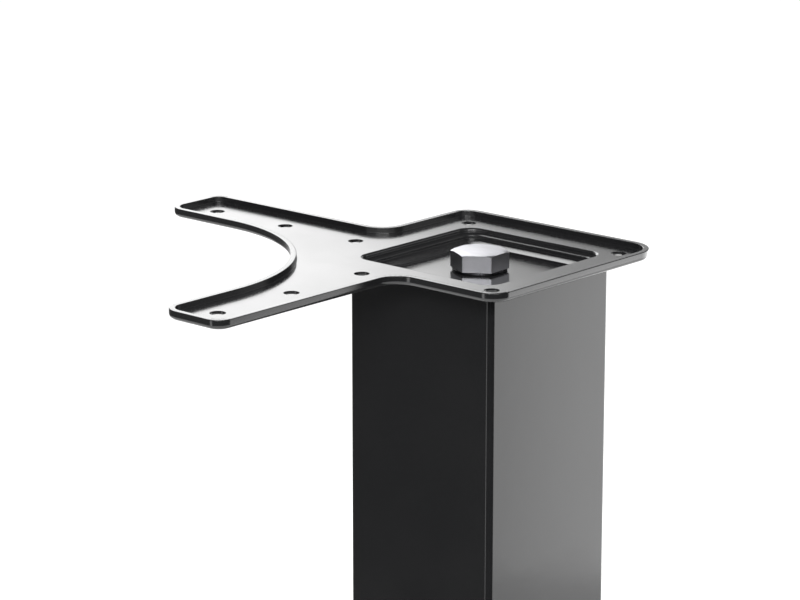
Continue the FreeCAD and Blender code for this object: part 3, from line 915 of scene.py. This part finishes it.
# %% The floor and the world
def work_out(tree, operation, *values):
    """What a Math node makes of some sockets or numbers."""
    node = tree.nodes.new("ShaderNodeMath")
    node.operation = operation
    for socket, value in zip(node.inputs, values):
        if isinstance(value, bpy.types.NodeSocket):
            tree.links.new(value, socket)
        else:
            socket.default_value = value
    return node.outputs[0]


def seen_directly(tree):
    """1 for rays that come from the camera, a mirror or glass, else 0."""
    path = tree.nodes.new("ShaderNodeLightPath")
    total = path.outputs["Is Camera Ray"]
    for word in ("Is Glossy Ray", "Is Transmission Ray"):
        total = work_out(tree, "MAXIMUM", total, path.outputs[word])
    return total


FLOOR_GLOW = 0.56
ROOM_LIGHT = 0.45
clear_selection()
bpy.ops.mesh.primitive_plane_add(size=24.0)
floor = settle("studio_floor")
paper = Finish("floor_paper")
grain = paper.span(paper.noise(35.0, 3.0), 0.78, 0.80)
pale = paper.add("ShaderNodeCombineColor", Red=grain, Green=grain, Blue=grain)
glow = work_out(paper.tree, "MULTIPLY", seen_directly(paper.tree), FLOOR_GLOW)
floor.data.materials.append(paper.set(
    Base_Color=pale.outputs["Color"], Roughness=0.9, Specular_IOR_Level=0.1,
    Emission_Color=(1.0, 1.0, 1.0, 1.0), Emission_Strength=glow))

world = bpy.data.worlds.new("studio_world")
bpy.context.scene.world = world
world.use_nodes = True
sky = world.node_tree.nodes["Background"]
level = world.node_tree.nodes.new("ShaderNodeMapRange")
level.inputs["To Min"].default_value = ROOM_LIGHT
level.inputs["To Max"].default_value = 1.0
world.node_tree.links.new(seen_directly(world.node_tree), level.inputs["Value"])
world.node_tree.links.new(level.outputs["Result"], sky.inputs["Strength"])
sky.inputs["Color"].default_value = (1.0, 1.0, 1.0, 1.0)
print("floor:", floor.name, "and world:", world.name)

# %% [markdown]
# Gloss black shows only what stands round it, so the light is built from curved sheets, as a
# photographer of black goods does. A bright one behind the leg is mirrored by all the level faces,
# a low one on the right by the tube's right side, and one in front by the bolt. Black and grey
# sheets stand wherever a wall or a rounded edge would otherwise mirror the white room. The camera
# sees none of them, and they throw no shadow. Only the bright ones light dull surfaces. A fade
# dims a sheet along its turn or its height. A lean tilts the fade along the turn, and one level of
# the sheet stays as it was.


# %% Curved sheets round the leg
LEAN_LEVEL = 1.37


def sheet_surface(name, strength, fade=(), lean=0.0):
    """A surface that glows evenly, or dims along the turn or the height."""
    surface = bpy.data.materials.new(name)
    surface.use_nodes = True
    tree = surface.node_tree
    tree.nodes.clear()
    light = tree.nodes.new("ShaderNodeEmission")
    output = tree.nodes.new("ShaderNodeOutputMaterial")
    tree.links.new(light.outputs[0], output.inputs["Surface"])
    light.inputs["Strength"].default_value = strength
    if fade:
        place = tree.nodes.new("ShaderNodeTexCoord")
        split = tree.nodes.new("ShaderNodeSeparateXYZ")
        tree.links.new(place.outputs["Object"], split.inputs[0])
        x, y, z = split.outputs
        turn = work_out(tree, "MULTIPLY_ADD", z, lean, work_out(tree, "ARCTAN2", y, x))
        for source, ends, least in fade:
            ramp = tree.nodes.new("ShaderNodeMapRange")
            ramp.interpolation_type = "SMOOTHSTEP"
            if source == "turn":
                ends = [math.radians(degrees) + lean * LEAN_LEVEL for degrees in ends]
            tree.links.new(turn if source == "turn" else z, ramp.inputs["Value"])
            for socket, value in zip(ramp.inputs[1:5], (*ends, least, 1.0)):
                socket.default_value = value
            strength = work_out(tree, "MULTIPLY", ramp.outputs["Result"], strength)
        tree.links.new(strength, light.inputs["Strength"])
    return surface


def sheet(name, start, end, radius, low, high, strength, fade=(), lean=0.0):
    """A part of a cylinder wall round the leg, between two angles from +X in degrees."""
    clear_selection()
    bpy.ops.mesh.primitive_cylinder_add(
        vertices=180, radius=radius, depth=high - low, end_fill_type="NOTHING",
        location=(0, 0, (low + high) / 2))
    piece = settle(name)
    open_mesh(piece)
    pick("FACE", lambda face: not (start < math.degrees(math.atan2(
        face.calc_center_median().y, face.calc_center_median().x)) % 360.0 < end))
    bpy.ops.mesh.delete(type="FACE")
    close_mesh()
    piece.data.materials.append(sheet_surface(name, strength, fade, lean))
    piece.visible_camera = False
    piece.visible_shadow = False
    piece.visible_diffuse = strength > 1.0
    print(name, "from", start, "to", end, "degrees")


# Each sheet's name, its two angles, its radius, foot and top in metres, and its strength.
sheet("back_light", 112, 156, 2.6, 0.60, 2.7, 3.5,
      (("turn", (130.5, 132.4), 0.23), ("height", (2.7, 2.3), 0.0)), 0.34)
sheet("right_light", 41, 120, 1.7, 0.0, 0.58, 4.0, (("turn", (45.0, 53.0), 0.52),))
sheet("front_light", 284, 336, 1.6, 1.30, 1.78, 16.0)
sheet("front_strip", 249, 261, 1.45, 0.0, 0.6, 2.2)
sheet("grey_left_low", 138, 170, 1.5, 0.0, 0.66, 0.7, (("turn", (170.0, 141.0), 0.19),))
sheet("black_left_low", 170, 240, 1.5, 0.0, 0.66, 0.13)
sheet("grey_left_high", 156, 188, 1.5, 0.66, 1.8, 0.35)
sheet("black_left_high", 188, 240, 1.5, 0.66, 1.8, 0.05)
sheet("black_back", 110, 131, 1.5, 1.22, 1.8, 0.05)
sheet("black_front", 240, 360, 1.5, 0.0, 0.66, 0.03)
sheet("black_front_end", 0, 40, 1.5, 0.0, 0.66, 0.03)
sheet("black_right", 0, 110, 1.5, 0.66, 1.8, 0.10)
sheet("grey_right", 42, 70, 1.48, 0.90, 1.45, 1.0)

# %% [markdown]
# A black disc closes the ring of sheets, so an edge that looks up mirrors black instead of the
# white room. The area light over it shines through, because the disc throws no shadow, and lights
# the dull surfaces from above.

# %% The black ceiling and the light above it
clear_selection()
bpy.ops.mesh.primitive_circle_add(vertices=90, radius=1.55, fill_type="NGON", location=(0, 0, 1.8))
ceiling = settle("black_ceiling")
ceiling.data.materials.append(sheet_surface("black_ceiling", 0.10))
ceiling.visible_camera = ceiling.visible_shadow = ceiling.visible_diffuse = False

clear_selection()
bpy.ops.object.light_add(type="AREA", location=(0.3, -0.4, 2.7))
top_light = bpy.context.object
top_light.name = "top_light"
top_light.data.shape = "RECTANGLE"
top_light.data.size = 1.6
top_light.data.size_y = 1.4
top_light.data.energy = 24.0
print(ceiling.name, "under", top_light.name)

# %% [markdown]
# The camera stands where the photographer's did: to the right and in front of the leg, nearly a
# metre away and a little above the plate, with a long lens.

# %% The camera
bpy.ops.object.camera_add(location=(0.62987, -0.74565, 0.95026),
                          rotation=(math.radians(90 - 14.771), 0.0, math.radians(41.708)))
camera = bpy.context.object
camera.name = "photo_camera"
camera.data.sensor_width = 36.0
camera.data.lens = 139.46
camera.data.clip_start = 0.01
bpy.context.scene.camera = camera
bpy.context.scene.view_settings.view_transform = "Standard"
print(camera.name, "with a lens of", camera.data.lens, "mm")
